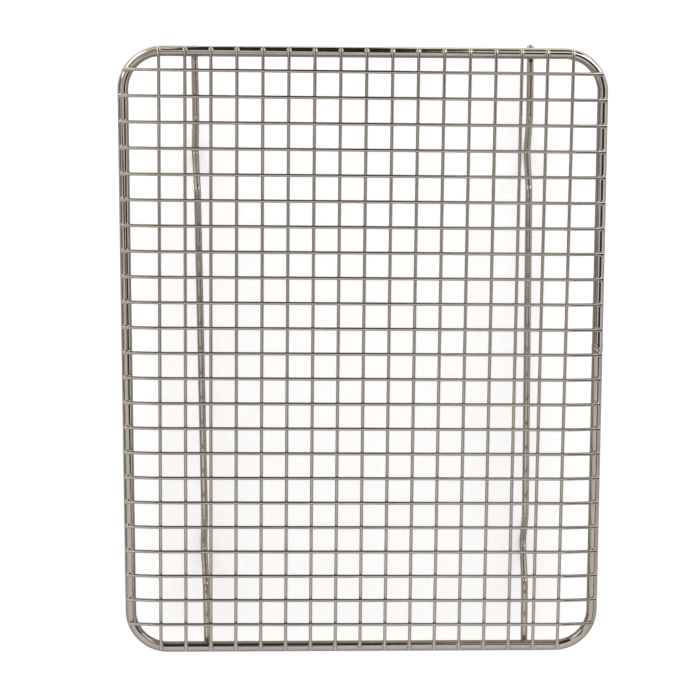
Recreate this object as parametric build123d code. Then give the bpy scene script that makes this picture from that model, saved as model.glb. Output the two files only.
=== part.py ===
from build123d import *
import math
import os

# Footed wire pan grate, in millimetres: a rim rod, a mesh of two layers of wire, and two legs bent into feet.
# X runs across the grate, Y along it and Z up. The origin is under its middle, where its feet stand.

# Rim: one rod bent into a rounded rectangle, measured over its outside
RIM_WIDTH = 200.0
RIM_LENGTH = 254.0
RIM_CORNER = 18.0
RIM_ROD = 4.5
RIM_SKEW = -0.3  # degrees that its two ends sit out of square

# Butt weld that closes the rim, on its +X side beside the middle cross wire
SEAM_LENGTH = 3.0
SEAM_PROUD = 0.2
SEAM_CLEAR = 0.6  # from that wire to the weld

# Mesh: long wires along Y, and cross wires laid over them along X
MESH_WIRE = 1.4
MESH_SIDES = 12  # flats that stand for the roundness of a mesh wire
LONG_WIRE_COUNT = 17
CROSS_WIRE_COUNT = 23
LONG_MARGIN = 13.75  # from the middle of the rim's rod to the first long wire
CROSS_MARGIN = 9.25  # from the middle of the rim's rod to the first cross wire
MESH_SHIFT = 1.4  # the mesh sits off the middle of the rim, towards +Y
MESH_TURN = -0.5  # degrees that the mesh sits turned in the rim
CROSS_CLEAR = 2.0  # from the last long wire to where a cross wire bends down to the rim
END_REACH = 1.5  # from the weld on the rim to the tip of a wire

# Legs: wires along Y under the rim, each with two V-shaped feet
LEG_WIRE = 2.9
LEG_SIDES = 16  # flats that stand for the roundness of a leg's wire
LEFT_LEG_INSET = 32.7  # from the outside of the rim to the middle of a leg
RIGHT_LEG_INSET = 31.1
LEFT_LEG_TURN = 0.7  # degrees that a leg sits turned under the rim
RIGHT_LEG_TURN = 0.3
LEFT_LEG_LEAN = 5.4  # degrees that its feet lean out from upright
RIGHT_LEG_LEAN = 3.2
LEG_OVERHANG = 0.5  # past the outside of the rim, for a leg that sits in the middle
LEFT_LEG_SLIDE = -0.2  # that its ends sit off the middle, towards +Y
RIGHT_LEG_SLIDE = 0.9
FOOT_INSET = 43.0  # from the outside of the rim to the middle of a foot
FOOT_HEIGHT = 12.0  # clear height under the level runs of a leg
FOOT_SLOPE = 42.0  # degrees below level of a foot's two limbs
FOOT_BEND = 3.5  # centre line radius of a leg's bends

# Levels of the centre lines, from the feet up: each layer rests on the one below
LEG_LEVEL = FOOT_HEIGHT + LEG_WIRE / 2
RIM_LEVEL = LEG_LEVEL + (LEG_WIRE + RIM_ROD) / 2
RIM_SEAT = (RIM_ROD + MESH_WIRE) / 2
LONG_LEVEL = RIM_LEVEL + RIM_SEAT
CROSS_LEVEL = LONG_LEVEL + MESH_WIRE


def flat_inside_rim():
    """Flat face that the centre line of the rim bounds, on the ground."""
    x = (RIM_WIDTH - RIM_ROD) / 2
    y = (RIM_LENGTH - RIM_ROD) / 2
    rise = x * math.tan(math.radians(RIM_SKEW))
    outline = Polygon((-x, -y - rise), (x, -y + rise), (x, y + rise), (-x, y - rise), align=None)
    return fillet(outline.vertices(), RIM_CORNER - RIM_ROD / 2).face()


RIM_FACE = flat_inside_rim()


def evenly_placed(count, span):
    """Offsets from the middle of wires at one pitch across a span."""
    pitch = span / (count - 1)
    return [pitch * i - span / 2 for i in range(count)]


def upright_of_mesh_wire(x, y, along):
    """Upright plane along a wire that passes through a point of the mesh."""
    in_mesh = Pos(Y=MESH_SHIFT) * Rot(Z=MESH_TURN) * Pos(x, y)
    return Plane(in_mesh * along.location)


def rim_crossings(upright):
    """How far back and forward a wire in an upright plane passes over the middle of the rim's rod."""
    ground_line = upright * Line((-RIM_LENGTH, 0), (RIM_LENGTH, 0))
    inside = (ground_line & RIM_FACE).edge()
    return (inside @ 0 - upright.origin).length, (inside @ 1 - upright.origin).length


def flat_sided(diameter, sides):
    """Section of a wire that repeats: flats in place of its circle, with one on top and one underneath."""
    return RegularPolygon(diameter / 2, sides, major_radius=False, rotation=180 / sides)


def bent_rod(path, section, sideways):
    """Rod along a flat path of straight runs and arcs, with one way of its section square to that flat."""
    runs = []
    for edge in path.edges():
        start = Plane(origin=edge @ 0, x_dir=sideways, z_dir=edge % 0) * section
        if edge.geom_type == GeomType.LINE:
            runs.append(extrude(start, amount=edge.length))
        else:
            hinge = Axis(edge.arc_center, (edge @ 0 - edge.arc_center).cross(edge % 0))
            runs.append(revolve(start, hinge, math.degrees(edge.length / edge.radius)))
    return Part() + runs


def make_rim(middle_cross):
    """Bent rod, with the bead of the butt weld that closes it beside the middle cross wire."""
    centre_line = Pos(Z=RIM_LEVEL) * RIM_FACE.outer_wire()
    ring = bent_rod(centre_line, Circle(RIM_ROD / 2), Vector(0, 0, 1))
    half = SEAM_LENGTH / 2
    radius = RIM_ROD / 2
    crest = ThreePointArc((-half, radius), (0, radius + SEAM_PROUD), (half, radius))
    core = Polyline((half, radius), (half, 0), (-half, 0), (-half, radius))
    bead = revolve(make_face(crest + core), Axis.X)
    wire = upright_of_mesh_wire(0, middle_cross, Plane.XZ)
    wire_end = wire.origin + wire.x_dir * rim_crossings(wire)[1]
    past_wire = MESH_WIRE / 2 + SEAM_CLEAR + half
    on_side = Pos((RIM_WIDTH - RIM_ROD) / 2, wire_end.Y + past_wire, RIM_LEVEL) * Rot(Z=90)
    return ring + on_side * bead


def make_mesh_wire(upright, points):
    """Wire of the mesh through points of its upright plane, bent slightly where they turn."""
    path = upright * Polyline(*points)
    start = Plane(origin=path @ 0, x_dir=upright.z_dir, z_dir=path % 0)
    return sweep(start * flat_sided(MESH_WIRE, MESH_SIDES), path, transition=Transition.RIGHT)


def make_long_wire(offset):
    """Straight wire of the lower layer, which rests on the crown of the rim at both ends."""
    upright = upright_of_mesh_wire(offset, 0, Plane.YZ)
    back, front = rim_crossings(upright)
    return make_mesh_wire(upright, [(-back - END_REACH, LONG_LEVEL), (front + END_REACH, LONG_LEVEL)])


def cross_wire_tip(bend, crossing):
    """Tip of a cross wire that slants from its bend down to the rim and touches its shoulder."""
    ahead = crossing - bend
    fall = CROSS_LEVEL - RIM_LEVEL
    sight = math.hypot(ahead, fall)
    slant = math.atan2(fall, ahead) - math.asin(RIM_SEAT / sight)
    length = math.sqrt(sight**2 - RIM_SEAT**2) + END_REACH
    return bend + length * math.cos(slant), CROSS_LEVEL - length * math.sin(slant)


def make_cross_wire(offset, last_long):
    """Wire of the upper layer, which comes down to the rim past the last long wire on each side."""
    upright = upright_of_mesh_wire(0, offset, Plane.XZ)
    back, front = rim_crossings(upright)
    bend = last_long + CROSS_CLEAR
    back_tip, back_level = cross_wire_tip(bend, back)
    front_tip, front_level = cross_wire_tip(bend, front)
    points = [
        (-back_tip, back_level),
        (-bend, CROSS_LEVEL),
        (bend, CROSS_LEVEL),
        (front_tip, front_level),
    ]
    return make_mesh_wire(upright, points)


def make_leg(offset, turn, lean, slide):
    """Wire under the rim, with two leaning V-shaped feet that stand on the ground at the rounding of their bends."""
    upright = Plane(Pos(X=offset) * Rot(Z=turn) * Plane.YZ.location)
    leaning = Plane(Pos(Z=LEG_LEVEL) * upright.location * Rot(X=lean))
    back, front = rim_crossings(upright)
    past_rim = RIM_ROD / 2 + LEG_OVERHANG
    slope = math.radians(FOOT_SLOPE)
    drop = FOOT_HEIGHT / math.cos(math.radians(lean)) + FOOT_BEND * (1 / math.cos(slope) - 1)
    half_foot = drop / math.tan(slope)
    foot_at = RIM_LENGTH / 2 - FOOT_INSET
    points = [(slide - back - past_rim, 0)]
    for foot in (-foot_at, foot_at):
        points.append((foot - half_foot, 0))
        points.append((foot, -drop))
        points.append((foot + half_foot, 0))
    points.append((slide + front + past_rim, 0))
    centre_line = leaning * FilletPolyline(*points, radius=FOOT_BEND)
    level_section = Rot(Z=-lean) * flat_sided(LEG_WIRE, LEG_SIDES)
    return bent_rod(centre_line, level_section, leaning.z_dir)


def make_grate():
    """Every piece by its name."""
    long_offsets = evenly_placed(LONG_WIRE_COUNT, RIM_WIDTH - RIM_ROD - 2 * LONG_MARGIN)
    cross_offsets = evenly_placed(CROSS_WIRE_COUNT, RIM_LENGTH - RIM_ROD - 2 * CROSS_MARGIN)
    pieces = {"rim_ring": make_rim(min(cross_offsets, key=abs))}
    for number, offset in enumerate(long_offsets, start=1):
        pieces[f"long_wire_{number:02d}"] = make_long_wire(offset)
    for number, offset in enumerate(cross_offsets, start=1):
        pieces[f"cross_wire_{number:02d}"] = make_cross_wire(offset, long_offsets[-1])
    left = LEFT_LEG_INSET - RIM_WIDTH / 2
    right = RIM_WIDTH / 2 - RIGHT_LEG_INSET
    pieces["leg_wire_left"] = make_leg(left, LEFT_LEG_TURN, LEFT_LEG_LEAN, LEFT_LEG_SLIDE)
    pieces["leg_wire_right"] = make_leg(right, RIGHT_LEG_TURN, -RIGHT_LEG_LEAN, RIGHT_LEG_SLIDE)
    return pieces


os.makedirs("parts", exist_ok=True)
for name, piece in make_grate().items():
    export_step(piece, f"parts/{name}.step")
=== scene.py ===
import math

import bpy
import numpy as np
from mathutils import Matrix, Vector


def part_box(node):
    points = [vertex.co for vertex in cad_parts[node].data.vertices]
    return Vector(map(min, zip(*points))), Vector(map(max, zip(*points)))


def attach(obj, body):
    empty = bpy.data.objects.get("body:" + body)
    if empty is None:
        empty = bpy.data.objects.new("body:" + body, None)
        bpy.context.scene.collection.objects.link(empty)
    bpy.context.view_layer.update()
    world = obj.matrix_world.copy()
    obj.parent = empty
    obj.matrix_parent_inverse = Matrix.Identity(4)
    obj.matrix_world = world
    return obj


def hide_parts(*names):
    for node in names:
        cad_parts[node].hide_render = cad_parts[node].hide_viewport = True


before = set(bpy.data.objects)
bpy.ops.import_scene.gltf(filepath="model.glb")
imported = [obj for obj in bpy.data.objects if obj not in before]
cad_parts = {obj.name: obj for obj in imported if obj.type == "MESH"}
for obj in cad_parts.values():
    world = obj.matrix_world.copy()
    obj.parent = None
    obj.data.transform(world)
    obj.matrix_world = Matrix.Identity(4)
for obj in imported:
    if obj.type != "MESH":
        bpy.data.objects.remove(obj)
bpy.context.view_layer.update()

MM = 0.001
UP = np.array([0.0, 0.0, 1.0])
LEVEL = np.array([1.0, 1.0, 0.0])  # takes the height out of a direction

# Rim: one rod bent into a rounded rectangle, measured over its outside
RIM_WIDTH = 200.0 * MM
RIM_LENGTH = 254.0 * MM
RIM_CORNER = 18.0 * MM
RIM_SKEW = math.radians(-0.3)  # that its two ends sit out of square
RIM_SIDES = 40  # corners of each ring round the rod
RIM_EASE = 0.012 * MM  # taken off the rod's radius, to stay inside the box of its solid
CORNER_STEPS = 24  # steps round each bend of the rod

# Butt weld that closes the rim: a low bead with a fine ring-shaped groove in it
SEAM_LENGTH = 3.0 * MM
SEAM_PROUD = 0.2 * MM
SEAM_GROOVE = 0.22 * MM
SEAM_GROOVE_WIDTH = 0.35 * MM
SEAM_STEPS = 40  # steps along the weld

# Wires of the mesh and the two legs
RING_GAP = 1.0 * MM  # least space between two rings of corners along a mesh wire's solid
MESH_SIDES = 24
MESH_BEND = 6.0 * MM  # centre line radius where a cross wire turns down to the rim
LEG_RADIUS = 1.45 * MM
LEG_SIDES = 32
LEG_BEND = 3.5 * MM  # centre line radius of a leg's bends
LEG_SLOPE = math.radians(42.0)  # below level, of a foot's two limbs
LEG_DOME = 0.9 * MM  # length of the rounding at each end of a leg
FOOT_INSET = 43.0 * MM  # from the outside of the rim to the middle of a foot
CAP_SHARE = 0.25  # of a leg's radius: corners this close to its end or to the ground are read as one
BEND_STEPS = 12
END_STEPS = 14
DOME_STEPS = 6
DOME_END = math.radians(80.0)  # where the rounding of an end stops, at a small flat

# Ends of the mesh wires, pressed down on the rim and flattened on top when they were welded
PRESS_INSIDE = 2.2 * MM  # from the middle of the rim's rod back to where the pressed end starts
PRESS_TILT = math.radians(8.5)  # below level, of the tip
PRESS_DEPTH = 0.3  # share of the radius that the top of the tip is pressed in
HALVINGS = 30  # of the search for where a wire passes the middle of the rim's rod

# Plated weld metal between a wire and the rim
WELD_REACH = 0.42 * MM  # past the side of the wire
WELD_HANG = math.radians(8.0)  # round the wire from its side to the weld's edge, where the weld is full
WELD_HANG_END = math.radians(75.0)  # the same where the weld runs out
WELD_INSIDE = 1.7 * MM  # from the middle of the rim's rod to where the weld runs out
WELD_SINK = 0.02 * MM  # that its foot lies under the rim's surface
WELD_ROWS = 6
WELD_SIDE_STEPS = 8
WELD_TIP_STEPS = 12
WELD_KNEE = 0.2  # place of its hollow, as a share of the way from its edge to its foot
WELD_LIMIT = 0.88  # farthest foot from the middle of the rim's rod, as a share of the rod's radius
WELD_DRAW_IN = 0.98  # share of its reach that a foot keeps each time it is drawn in

# Camera: above the grate, a little behind its middle
CAMERA_AIM = Vector((-5.455, 2.528, 17.15)) * MM
CAMERA_DISTANCE = 808.2 * MM
CAMERA_TILT = math.radians(8.822)
CAMERA_YAW = math.radians(-2.228)
CAMERA_ROLL = math.radians(0.130)
CAMERA_LENS = 100.12
CAMERA_SENSOR = 36.0

# Plating: bright and dull shades, best and worst gloss, and the sizes of its clouds and ripples
RIM_SHADES = (0.48, 0.44, 0.385), (0.43, 0.39, 0.34)
MESH_SHADES = (0.53, 0.478, 0.41), (0.465, 0.413, 0.352)
LEG_SHADES = (0.55, 0.5, 0.434), (0.48, 0.432, 0.374)
CLOUD_SCALE = 90.0
CLOUD_DETAIL = 4.0
RIPPLE_SCALE = 420.0
RIPPLE_DETAIL = 2.0
NOISE_LOW = 0.3  # stretch of the noise that runs from one shade or gloss to the other
NOISE_HIGH = 0.7
DRAWN_GLOSS = 0.06, 0.13  # of the rim and the mesh
BENT_GLOSS = 0.16, 0.28  # of the legs
RIPPLE_HEIGHT = 0.1 * MM  # times the share that each kind of piece shows of it
DRAWN_RIPPLE = 0.1
BENT_RIPPLE = 0.14

# Brown heat tint that one weld of the right leg has kept
HEAT_SHADE = (0.17, 0.105, 0.06)
HEAT_INSIDE = 3.0 * MM  # from the middle of the rim's rod to the middle of the tint
HEAT_CORE = 0.3 * MM  # radius of the full tint
HEAT_REACH = 1.3 * MM  # radius where it has faded out

# Colour sockets of a mixing node
MIX_FIRST = 6
MIX_SECOND = 7
MIX_RESULT = 2

# Stage: the floor, and the brightness of the surroundings overhead and at the horizon
FLOOR_REACH = 3.0  # metres from the middle to each edge
FLOOR_SHADE = 0.92
FLOOR_GLOW = 0.27  # light of its own that the eye and the plating see
ZENITH = 1.0
HORIZON = 0.6

# Soft lamps that face down, and soft panels that face the grate
LAMPS = {
    "far_lamp": {"place": (0.45, 0.40, 0.5), "width": 0.7, "depth": 0.16, "power": 0.56},
    "bright_lamp": {"place": (0.37, 0.39, 0.49), "width": 0.3, "depth": 0.3, "power": 0.28},
    "right_lamp": {"place": (1.0, 0.0, 0.45), "width": 0.6, "depth": 0.6, "power": 0.57},
    "corner_lamp": {"place": (-0.135, 0.27, 0.06), "width": 0.11, "depth": 0.22, "power": 0.09},
}
PANELS = {
    "right_panel": {"place": (0.58, 0.5, 0.34), "width": 0.4, "depth": 0.35, "power": 1.2},
    "left_panel": {"place": (-0.5, 0.42, 0.34), "width": 0.4, "depth": 0.35, "power": 1.0},
}

# Cards that only the plating reflects, in mm
BLACK_SHADE = 0.02
GREY_SHADE = 0.25
PALE_SHADE = 0.6
CARD_ROUGHNESS = 0.9
BLACK_CARDS = {
    "far_wall": [(-500, 1000, 0), (60, 1000, 0), (130, 1000, 1000), (130, 1000, 2700), (-500, 1000, 2700)],
    "far_floor": [(-60, 210, 1), (26, 210, 1), (60, 1000, 1), (-500, 1000, 1)],
    "far_card": [
        (-100, 310, 410), (45, 60, 520), (75, 500, 326),
        (250, 900, 180), (-200, 900, 180), (-200, 500, 326),
    ],
    "high_card": [(450, -420, 1500), (1450, -420, 1500), (1450, 100, 1500), (450, 100, 1500)],
    "right_card": [
        (-10, 250, 400), (0, 110, 400), (60, 100, 400), (90, 40, 400), (140, 10, 400), (160, -110, 400),
        (180, -190, 400), (450, -190, 400), (450, 230, 400), (180, 265, 400),
    ],
    "corner_card": [
        (-225, 120, 400), (-170, 100, 400), (-110, 130, 400),
        (-90, 190, 400), (-140, 220, 400), (-215, 200, 400),
    ],
    "left_card": [
        (-330, 120, 400), (-330, 60, 400), (-60, -60, 400),
        (-20, -100, 400), (10, -60, 400), (-90, 50, 400),
    ],
}
GREY_CARDS = {
    "left_screen": [(-800, -300, 0), (-800, 700, 0), (-800, 700, 650), (-800, -300, 500)],
    "far_screen": [(60, 1010, 150), (1500, 1010, 150), (1500, 1010, 1600), (130, 1010, 1900)],
    "right_screen": [(200, -190, 400), (420, -190, 400), (380, -360, 400), (290, -360, 400)],
}
PALE_CARDS = {
    "under_screen": [(-600, -700, 1), (600, -700, 1), (600, 130, 1), (-600, 130, 1)],
}


def corners_of(node):
    """Corners of a solid of the frame, in metres."""
    return np.array([corner.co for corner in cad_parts[node].data.vertices], dtype=float)


def unit(vector):
    """Vector of length one in the same direction."""
    return vector / np.linalg.norm(vector)


def rim_size():
    """Radius of the rim's rod and the level of its middle, read from the side that has no butt weld."""
    corners = corners_of("rim_ring")
    plain = corners[corners[:, 0] < 0]
    low = plain[:, 2].min()
    high = plain[:, 2].max()
    return (high - low) / 2, (high + low) / 2


RIM_RADIUS, RIM_LEVEL = rim_size()
BEND_RADIUS = RIM_CORNER - RIM_RADIUS
HALF_WIDTH = RIM_WIDTH / 2 - RIM_RADIUS
HALF_LENGTH = RIM_LENGTH / 2 - RIM_RADIUS


def off_rim_line(place):
    """How far a place is outside the centre line of the rim, seen from above."""
    across = abs(place[0]) - (HALF_WIDTH - BEND_RADIUS)
    along = abs(place[1] - place[0] * math.tan(RIM_SKEW)) - (HALF_LENGTH - BEND_RADIUS)
    past_corner = math.hypot(max(across, 0.0), max(along, 0.0))
    return past_corner + min(max(across, along), 0.0) - BEND_RADIUS


def rim_surface(place, facing):
    """Level of the rim's surface over a place, on its top for facing +1 and on its underside for -1."""
    off = off_rim_line(place)
    return RIM_LEVEL + facing * math.sqrt(max(RIM_RADIUS**2 - off**2, 0.0))


def rounded(points, radius, steps, closed=False):
    """Line through points, with its corners rounded."""
    count = len(points)
    line = []
    for i, point in enumerate(points):
        if not closed and i in (0, count - 1):
            line.append(point)
            continue
        come = unit(point - points[i - 1])
        go = unit(points[(i + 1) % count] - point)
        turn = math.acos(min(1.0, float(come @ go)))
        start = point - come * radius * math.tan(turn / 2)
        hub = point + unit(go - come) * radius / math.cos(turn / 2)
        for k in range(steps + 1):
            angle = turn * k / steps
            line.append(hub + (start - hub) * math.cos(angle) + come * radius * math.sin(angle))
    return line


def tube(stations, sideways, sides):
    """Rings of corners round a centre line. A station is a middle, a direction, a radius and a flatness."""
    turns = np.linspace(0, 2 * math.pi, sides, endpoint=False)[:, None]
    rings = []
    for middle, forward, radius, pressed in stations:
        upward = np.cross(forward, sideways)
        lift = np.sin(turns)
        lift = lift - pressed * PRESS_DEPTH * np.maximum(lift, 0.0) ** 3
        rings.append(middle + radius * (np.cos(turns) * sideways + lift * upward))
    return rings


def skin(rows, around, closed=False):
    """Faces between rows of corners; each row runs round a ring, or is open."""
    width = len(rows[0])
    count = len(rows)
    faces = []
    for i in range(count if closed else count - 1):
        j = (i + 1) % count
        for k in range(width if around else width - 1):
            n = (k + 1) % width
            faces.append((i * width + k, i * width + n, j * width + n, j * width + k))
    return faces


def rod_stations(line, radius, dome, pressed):
    """Stations along a rod whose two ends are rounded over."""
    count = len(line)
    back = unit(line[0] - line[1])
    front = unit(line[-1] - line[-2])
    angles = [DOME_END * k / DOME_STEPS for k in range(1, DOME_STEPS + 1)]
    stations = []
    for angle in reversed(angles):
        middle = line[0] + back * dome * math.sin(angle)
        stations.append((middle, -back, radius * math.cos(angle), pressed[0]))
    for i, point in enumerate(line):
        come = unit(point - line[i - 1]) if i > 0 else -back
        go = unit(line[i + 1] - point) if i < count - 1 else front
        stations.append((point, unit(come + go), radius, pressed[i]))
    for angle in angles:
        middle = line[-1] + front * dome * math.sin(angle)
        stations.append((middle, front, radius * math.cos(angle), pressed[-1]))
    return stations


def rod_shape(line, radius, dome, pressed, sideways, sides):
    """Corners and faces of a round rod with domed ends."""
    rings = tube(rod_stations(line, radius, dome, pressed), sideways, sides)
    faces = skin(rings, around=True)
    last = (len(rings) - 1) * sides
    faces.append(tuple(reversed(range(sides))))
    faces.append(tuple(range(last, last + sides)))
    return np.concatenate(rings), faces


def weld_foot(middle, outward, reach, facing):
    """Where weld metal runs out on the rim: drawn in where it would leave the rim's surface."""
    foot = middle + reach * outward
    while off_rim_line(foot) > WELD_LIMIT * RIM_RADIUS:
        reach *= WELD_DRAW_IN
        foot = middle + reach * outward
    foot[2] = rim_surface(foot, facing) - facing * WELD_SINK
    return foot


def weld_shape(stations, radius, facing):
    """Concave ribbon of weld metal from the side of a wire to the rim, on its top or its underside."""
    rows = []
    for middle, outward, fade in stations:
        hang = WELD_HANG + (WELD_HANG_END - WELD_HANG) * fade
        top = middle + radius * (math.cos(hang) * outward - facing * math.sin(hang) * UP)
        foot = weld_foot(middle, outward, radius + WELD_REACH * (1 - fade), facing)
        knee = top + (foot - top) * WELD_KNEE
        knee[2] = foot[2]
        row = []
        for k in range(WELD_ROWS + 1):
            t = k / WELD_ROWS
            row.append((1 - t) ** 2 * top + 2 * t * (1 - t) * knee + t**2 * foot)
        rows.append(row[::-facing])
    faces = skin(rows, around=False)
    return np.concatenate(rows), [face[::-1] for face in faces]


def over_rim(tip, forward):
    """Distance back along a wire from its tip to where it passes the middle of the rim's rod."""
    near = 0.0
    far = 2 * RIM_RADIUS
    for _ in range(HALVINGS):
        middle = (near + far) / 2
        if off_rim_line(tip - forward * middle) > 0:
            near = middle
        else:
            far = middle
    return near


def pressed_end(tip, before, radius):
    """Middle of a mesh wire's end up to its rounded tip: it bends down a little, into the weld."""
    forward = unit(tip - before)
    start = over_rim(tip, forward) + PRESS_INSIDE
    length = start - radius
    tilt = PRESS_TILT + math.asin(forward[2])
    line = []
    for k in range(END_STEPS + 1):
        along = length * k / END_STEPS
        line.append(tip - forward * (start - along) - UP * tilt * along**2 / (2 * length))
    return line


def tip_weld_stations(end):
    """Stations of the weld round the end of a mesh wire: along one side, round its tip and back."""
    ahead = unit((end[-1] - end[0]) * LEVEL)
    side = np.cross(UP, ahead)
    held = [middle for middle in end if off_rim_line(middle) > -WELD_INSIDE]
    fades = [(1 - k / len(held)) ** 2 for k in range(len(held))]
    stations = [(middle, side, fade) for middle, fade in zip(held, fades)]
    for k in range(WELD_TIP_STEPS + 1):
        angle = math.pi * k / WELD_TIP_STEPS
        stations.append((end[-1], math.cos(angle) * side + math.sin(angle) * ahead, 0.0))
    back = [(middle, -side, fade) for middle, fade in zip(held, fades)]
    return stations + back[::-1]


def leg_weld_stations(crossing, forward, side):
    """Stations of the weld along one side of a leg, where it passes under the rim."""
    stations = []
    for k in range(2 * WELD_SIDE_STEPS + 1):
        place = k / WELD_SIDE_STEPS - 1
        stations.append((crossing + forward * WELD_INSIDE * place, side, place**2))
    return stations


def make_piece(name, shapes, material):
    """Mesh object made of several shapes, which stands for the solid of the same name."""
    corners = []
    faces = []
    start = 0
    for shape_corners, shape_faces in shapes:
        corners.append(shape_corners)
        faces.extend(tuple(start + index for index in face) for face in shape_faces)
        start += len(shape_corners)
    mesh = bpy.data.meshes.new(name)
    mesh.from_pydata(np.concatenate(corners).tolist(), [], faces)
    mesh.polygons.foreach_set("use_smooth", [True] * len(mesh.polygons))
    mesh.materials.append(material)
    piece = bpy.data.objects.new("plated_" + name, mesh)
    bpy.context.scene.collection.objects.link(piece)
    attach(piece, "root")
    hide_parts(name)
    return piece


def wire_line(node):
    """Centre line of a mesh wire: the middle of each ring of corners along it."""
    corners = corners_of(node)
    along = int(np.argmax(np.ptp(corners, axis=0)))
    corners = corners[np.argsort(corners[:, along])]
    gaps = np.flatnonzero(np.diff(corners[:, along]) > RING_GAP)
    rings = np.split(corners, gaps + 1)
    return [(ring.min(axis=0) + ring.max(axis=0)) / 2 for ring in rings]


def make_mesh_wire(node, radius, material):
    """Round wire of the mesh, with the weld metal at its two ends."""
    line = wire_line(node)
    sideways = unit(np.cross(UP, line[-1] - line[0]))
    back = pressed_end(line[0], line[1], radius)
    front = pressed_end(line[-1], line[-2], radius)
    between = rounded(line, MESH_BEND, BEND_STEPS)[1:-1]
    flat = [k / END_STEPS for k in range(END_STEPS + 1)]
    pressed = flat[::-1] + [0.0] * len(between) + flat
    shapes = [rod_shape(back[::-1] + between + front, radius, radius, pressed, sideways, MESH_SIDES)]
    for end in (back, front):
        shapes.append(weld_shape(tip_weld_stations(end), radius, facing=1))
    return make_piece(node, shapes, material)


def seam_middle():
    """Where the butt weld sits along the +X side of the rim."""
    corners = corners_of("rim_ring")
    bead = corners[corners[:, 0] > HALF_WIDTH + RIM_RADIUS + SEAM_PROUD / 2]
    return float(bead[:, 1].mean())


def seam_radius(off):
    """Radius of the rim's rod at a distance from the middle of its butt weld."""
    bulge = SEAM_PROUD * max(0.0, 1 - (2 * off / SEAM_LENGTH) ** 2)
    groove = SEAM_GROOVE * math.exp(-((2 * off / SEAM_GROOVE_WIDTH) ** 2))
    return RIM_RADIUS + bulge - groove


def make_rim(material):
    """Bent rod with its butt weld."""
    rise = HALF_WIDTH * math.tan(RIM_SKEW)
    points = [
        np.array([HALF_WIDTH, HALF_LENGTH + rise, RIM_LEVEL]),
        np.array([-HALF_WIDTH, HALF_LENGTH - rise, RIM_LEVEL]),
        np.array([-HALF_WIDTH, -HALF_LENGTH - rise, RIM_LEVEL]),
        np.array([HALF_WIDTH, -HALF_LENGTH + rise, RIM_LEVEL]),
    ]
    line = rounded(points, BEND_RADIUS, CORNER_STEPS, closed=True)
    seam_at = seam_middle()
    for k in range(SEAM_STEPS + 1):
        off = SEAM_LENGTH * (k / SEAM_STEPS - 0.5)
        line.append(np.array([HALF_WIDTH, seam_at + off, RIM_LEVEL]))
    count = len(line)
    stations = []
    for i, point in enumerate(line):
        forward = unit(unit(point - line[i - 1]) + unit(line[(i + 1) % count] - point))
        on_seam = point[0] > HALF_WIDTH - SEAM_PROUD and abs(point[1] - seam_at) <= SEAM_LENGTH / 2
        radius = seam_radius(point[1] - seam_at) if on_seam else RIM_RADIUS
        stations.append((point, forward, radius - RIM_EASE, 0.0))
    rings = tube(stations, UP, RIM_SIDES)
    shape = (np.concatenate(rings), skin(rings, around=True, closed=True))
    return make_piece("rim_ring", [shape], material)


def leg_line(node, radius):
    """Centre line of a leg before its bends are rounded, and the sideways direction of its flat."""
    corners = corners_of(node)
    ends = []
    for extreme in (corners[:, 1].min(), corners[:, 1].max()):
        cap = corners[np.abs(corners[:, 1] - extreme) < radius * CAP_SHARE]
        ends.append((cap.min(axis=0) + cap.max(axis=0)) / 2)
    near, far = ends
    forward = unit(far - near)
    near = near + forward * LEG_DOME
    far = far - forward * LEG_DOME
    middle = near - forward * near[1] / forward[1]
    lowest = corners[corners[:, 2] < radius * CAP_SHARE]
    foot = lowest[lowest[:, 1] > 0].mean(axis=0)
    foot_at = RIM_LENGTH / 2 - FOOT_INSET
    down = foot - (middle + forward * foot_at)
    down = unit(down - forward * (down @ forward))
    height = near[2] - radius
    fall = height / -down[2] + LEG_BEND * (1 / math.cos(LEG_SLOPE) - 1)
    half_foot = fall / math.tan(LEG_SLOPE)
    points = [near]
    for at in (-foot_at, foot_at):
        points.append(middle + forward * (at - half_foot))
        points.append(middle + forward * at + down * fall)
        points.append(middle + forward * (at + half_foot))
    points.append(far)
    return points, unit(np.cross(down, forward))


def tinted_place(node):
    """Place on top of a leg, just inside its weld to the far side of the rim."""
    points = leg_line(node, LEG_RADIUS)[0]
    forward = unit(points[-1] - points[-2])
    crossing = points[-1] - forward * over_rim(points[-1], forward)
    return crossing - forward * HEAT_INSIDE + UP * LEG_RADIUS


def make_leg(node, material):
    """Round wire under the rim, bent into two V-shaped feet, with the weld metal at its two ends."""
    radius = LEG_RADIUS
    points, sideways = leg_line(node, radius)
    bent = rounded(points, LEG_BEND, BEND_STEPS)
    shapes = [rod_shape(bent, radius, LEG_DOME, [0.0] * len(bent), sideways, LEG_SIDES)]
    for tip, before in ((points[0], points[1]), (points[-1], points[-2])):
        forward = unit(tip - before)
        crossing = tip - forward * over_rim(tip, forward)
        side = unit(np.cross(UP, forward))
        for outward in (side, -side):
            stations = leg_weld_stations(crossing, forward, outward)
            shapes.append(weld_shape(stations, radius, facing=-1))
    return make_piece(node, shapes, material)


def add(nodes, kind, **settings):
    """Shader node of a kind, with its settings."""
    node = nodes.new(kind)
    for name, value in settings.items():
        setattr(node, name, value)
    return node


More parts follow.
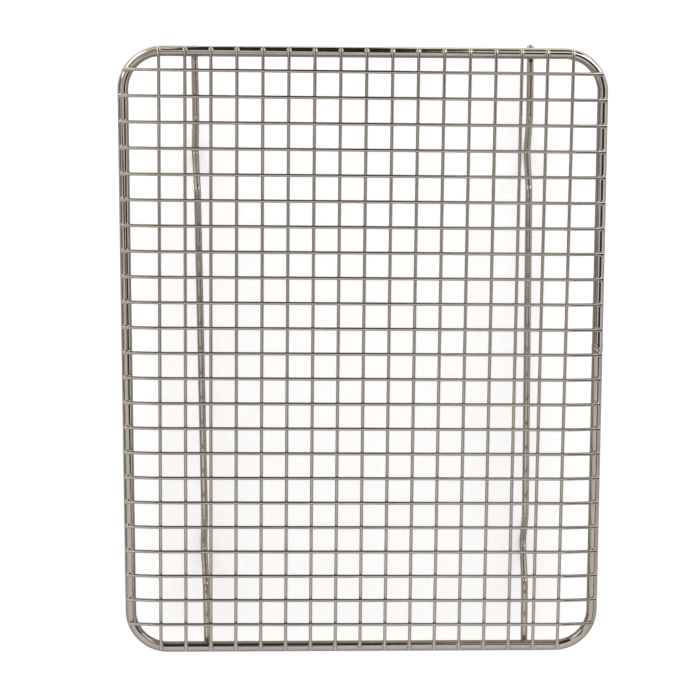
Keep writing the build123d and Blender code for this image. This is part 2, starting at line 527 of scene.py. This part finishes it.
def plating_variation():
    """Group of nodes: cloudy shade, uneven gloss and fine ripples, as plating on drawn wire has."""
    group = bpy.data.node_groups.new("plating_variation", "ShaderNodeTree")
    group.interface.new_socket("Bright", in_out="INPUT", socket_type="NodeSocketColor")
    group.interface.new_socket("Dull", in_out="INPUT", socket_type="NodeSocketColor")
    group.interface.new_socket("Smoothest", in_out="INPUT", socket_type="NodeSocketFloat")
    group.interface.new_socket("Roughest", in_out="INPUT", socket_type="NodeSocketFloat")
    group.interface.new_socket("Color", in_out="OUTPUT", socket_type="NodeSocketColor")
    group.interface.new_socket("Roughness", in_out="OUTPUT", socket_type="NodeSocketFloat")
    group.interface.new_socket("Height", in_out="OUTPUT", socket_type="NodeSocketFloat")
    nodes = group.nodes
    link = group.links.new
    given = add(nodes, "NodeGroupInput")
    made = add(nodes, "NodeGroupOutput")
    place = add(nodes, "ShaderNodeTexCoord")
    clouds = add(nodes, "ShaderNodeTexNoise")
    clouds.inputs["Scale"].default_value = CLOUD_SCALE
    clouds.inputs["Detail"].default_value = CLOUD_DETAIL
    ripples = add(nodes, "ShaderNodeTexNoise")
    ripples.inputs["Scale"].default_value = RIPPLE_SCALE
    ripples.inputs["Detail"].default_value = RIPPLE_DETAIL
    shade = add(nodes, "ShaderNodeMix", data_type="RGBA")
    spread = add(nodes, "ShaderNodeMapRange")
    spread.inputs["From Min"].default_value = NOISE_LOW
    spread.inputs["From Max"].default_value = NOISE_HIGH
    gloss = add(nodes, "ShaderNodeMapRange")
    gloss.inputs["From Min"].default_value = NOISE_LOW
    gloss.inputs["From Max"].default_value = NOISE_HIGH
    link(place.outputs["Object"], clouds.inputs["Vector"])
    link(place.outputs["Object"], ripples.inputs["Vector"])
    link(clouds.outputs["Fac"], spread.inputs["Value"])
    link(spread.outputs["Result"], shade.inputs["Factor"])
    link(given.outputs["Bright"], shade.inputs[MIX_FIRST])
    link(given.outputs["Dull"], shade.inputs[MIX_SECOND])
    link(ripples.outputs["Fac"], gloss.inputs["Value"])
    link(given.outputs["Smoothest"], gloss.inputs["To Min"])
    link(given.outputs["Roughest"], gloss.inputs["To Max"])
    link(shade.outputs[MIX_RESULT], made.inputs["Color"])
    link(gloss.outputs["Result"], made.inputs["Roughness"])
    link(ripples.outputs["Fac"], made.inputs["Height"])
    return group


def plated(name, variation, shades, gloss, unevenness):
    """Bright nickel-like plating."""
    bright, dull = shades
    smoothest, roughest = gloss
    material = bpy.data.materials.new(name)
    material.use_nodes = True
    nodes = material.node_tree.nodes
    link = material.node_tree.links.new
    shader = nodes["Principled BSDF"]
    shader.inputs["Metallic"].default_value = 1.0
    finish = add(nodes, "ShaderNodeGroup", node_tree=variation)
    finish.inputs["Bright"].default_value = (*bright, 1.0)
    finish.inputs["Dull"].default_value = (*dull, 1.0)
    finish.inputs["Smoothest"].default_value = smoothest
    finish.inputs["Roughest"].default_value = roughest
    bump = add(nodes, "ShaderNodeBump")
    bump.inputs["Strength"].default_value = unevenness
    bump.inputs["Distance"].default_value = RIPPLE_HEIGHT
    link(finish.outputs["Color"], shader.inputs["Base Color"])
    link(finish.outputs["Roughness"], shader.inputs["Roughness"])
    link(finish.outputs["Height"], bump.inputs["Height"])
    link(bump.outputs["Normal"], shader.inputs["Normal"])
    return material


def add_heat_tint(material, place):
    """Brown tint of a plating round one place."""
    nodes = material.node_tree.nodes
    link = material.node_tree.links.new
    base = nodes["Principled BSDF"].inputs["Base Color"]
    clean = base.links[0].from_socket
    where = add(nodes, "ShaderNodeTexCoord")
    away = add(nodes, "ShaderNodeVectorMath", operation="DISTANCE")
    away.inputs[1].default_value = place
    fade = add(nodes, "ShaderNodeMapRange", interpolation_type="SMOOTHSTEP")
    fade.inputs["From Min"].default_value = HEAT_REACH
    fade.inputs["From Max"].default_value = HEAT_CORE
    tint = add(nodes, "ShaderNodeMix", data_type="RGBA")
    tint.inputs[MIX_SECOND].default_value = (*HEAT_SHADE, 1.0)
    link(where.outputs["Object"], away.inputs[0])
    link(away.outputs["Value"], fade.inputs["Value"])
    link(fade.outputs["Result"], tint.inputs["Factor"])
    link(clean, tint.inputs[MIX_FIRST])
    link(tint.outputs[MIX_RESULT], base)


def seen_white(nodes, link):
    """Value that is one for what is seen straight, in metal or through glass."""
    path = add(nodes, "ShaderNodeLightPath")
    first = add(nodes, "ShaderNodeMath", operation="MAXIMUM")
    second = add(nodes, "ShaderNodeMath", operation="MAXIMUM")
    link(path.outputs["Is Camera Ray"], first.inputs[0])
    link(path.outputs["Is Glossy Ray"], first.inputs[1])
    link(first.outputs["Value"], second.inputs[0])
    link(path.outputs["Is Transmission Ray"], second.inputs[1])
    return second.outputs["Value"]


def floor_material():
    """White paper that shows white, with a faint shadow of the grate."""
    material = bpy.data.materials.new("white_paper")
    material.use_nodes = True
    nodes = material.node_tree.nodes
    link = material.node_tree.links.new
    nodes.clear()
    paper = add(nodes, "ShaderNodeBsdfDiffuse")
    paper.inputs["Color"].default_value = (FLOOR_SHADE, FLOOR_SHADE, FLOOR_SHADE, 1.0)
    glow = add(nodes, "ShaderNodeEmission")
    share = add(nodes, "ShaderNodeMath", operation="MULTIPLY")
    share.inputs[1].default_value = FLOOR_GLOW
    both = add(nodes, "ShaderNodeAddShader")
    out = add(nodes, "ShaderNodeOutputMaterial")
    link(seen_white(nodes, link), share.inputs[0])
    link(share.outputs["Value"], glow.inputs["Strength"])
    link(paper.outputs["BSDF"], both.inputs[0])
    link(glow.outputs["Emission"], both.inputs[1])
    link(both.outputs["Shader"], out.inputs["Surface"])
    return material


def flat_card(name, corners, material):
    """Flat sheet of the stage."""
    mesh = bpy.data.meshes.new(name)
    mesh.from_pydata(corners, [], [tuple(range(len(corners)))])
    mesh.materials.append(material)
    card = bpy.data.objects.new(name, mesh)
    bpy.context.scene.collection.objects.link(card)
    return card


def card_material(name, shade):
    """Matt card."""
    material = bpy.data.materials.new(name)
    material.use_nodes = True
    shader = material.node_tree.nodes["Principled BSDF"]
    shader.inputs["Base Color"].default_value = (shade, shade, shade, 1.0)
    shader.inputs["Roughness"].default_value = CARD_ROUGHNESS
    return material


def set_cards(outlines, material):
    """Cards that only the plating sees."""
    for name, outline in outlines.items():
        corners = [(x * MM, y * MM, z * MM) for x, y, z in outline]
        card = flat_card(name, corners, material)
        card.visible_camera = False
        card.visible_shadow = False
        card.visible_diffuse = False


def set_stage():
    """White floor, and the cards that the plating reflects."""
    far = FLOOR_REACH
    flat_card("floor", [(-far, -far, 0), (far, -far, 0), (far, far, 0), (-far, far, 0)], floor_material())
    set_cards(BLACK_CARDS, card_material("black_card", BLACK_SHADE))
    set_cards(GREY_CARDS, card_material("grey_card", GREY_SHADE))
    set_cards(PALE_CARDS, card_material("pale_card", PALE_SHADE))


def set_world():
    """Plain pale surroundings, lighter overhead than at the horizon."""
    world = bpy.data.worlds.new("studio")
    world.use_nodes = True
    nodes = world.node_tree.nodes
    link = world.node_tree.links.new
    towards = add(nodes, "ShaderNodeTexCoord")
    parts = add(nodes, "ShaderNodeSeparateXYZ")
    shade = add(nodes, "ShaderNodeMapRange")
    shade.inputs["To Min"].default_value = HORIZON
    shade.inputs["To Max"].default_value = ZENITH
    link(towards.outputs["Generated"], parts.inputs["Vector"])
    link(parts.outputs["Z"], shade.inputs["Value"])
    link(shade.outputs["Result"], nodes["Background"].inputs["Color"])
    bpy.context.scene.world = world


def set_lamp(name, place, width, depth, power):
    """Soft lamp that faces down."""
    lamp = bpy.data.lights.new(name, "AREA")
    lamp.shape = "RECTANGLE"
    lamp.size = width
    lamp.size_y = depth
    lamp.energy = power
    holder = bpy.data.objects.new(name, lamp)
    holder.location = place
    bpy.context.scene.collection.objects.link(holder)
    return holder


def set_panel(name, **lamp):
    """Soft lamp that faces the grate."""
    holder = set_lamp(name, **lamp)
    holder.rotation_euler = (-holder.location).to_track_quat("-Z", "Y").to_euler()


def set_camera():
    """Camera above the grate, tilted and turned a little."""
    away = Vector((
        math.sin(CAMERA_YAW) * math.cos(CAMERA_TILT),
        math.sin(CAMERA_TILT),
        math.cos(CAMERA_YAW) * math.cos(CAMERA_TILT),
    ))
    away.normalize()
    level = Vector((0, 1, 0)).cross(away).normalized()
    upright = away.cross(level)
    right = level * math.cos(CAMERA_ROLL) + upright * math.sin(CAMERA_ROLL)
    over = upright * math.cos(CAMERA_ROLL) - level * math.sin(CAMERA_ROLL)
    lens = bpy.data.cameras.new("camera")
    lens.lens = CAMERA_LENS
    lens.sensor_width = CAMERA_SENSOR
    camera = bpy.data.objects.new("camera", lens)
    turned = Matrix((right, over, away)).transposed()
    camera.matrix_world = Matrix.Translation(CAMERA_AIM + away * CAMERA_DISTANCE) @ turned.to_4x4()
    bpy.context.scene.collection.objects.link(camera)
    bpy.context.scene.camera = camera


def make_grate():
    """Every piece of the grate."""
    variation = plating_variation()
    rim_plating = plated("plated_rim", variation, RIM_SHADES, DRAWN_GLOSS, DRAWN_RIPPLE)
    mesh_plating = plated("plated_mesh", variation, MESH_SHADES, DRAWN_GLOSS, DRAWN_RIPPLE)
    leg_plating = plated("plated_legs", variation, LEG_SHADES, BENT_GLOSS, BENT_RIPPLE)
    add_heat_tint(leg_plating, tinted_place("leg_wire_right"))
    make_rim(rim_plating)
    low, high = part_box("long_wire_01")
    radius = (high[2] - low[2]) / 2
    for node in sorted(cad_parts):
        if node.startswith(("long_wire", "cross_wire")):
            make_mesh_wire(node, radius, mesh_plating)
        elif node.startswith("leg_wire"):
            make_leg(node, leg_plating)


make_grate()
set_stage()
set_world()
for name, lamp in LAMPS.items():
    set_lamp(name, **lamp)
for name, panel in PANELS.items():
    set_panel(name, **panel)
set_camera()
bpy.context.scene.view_settings.view_transform = "Standard"
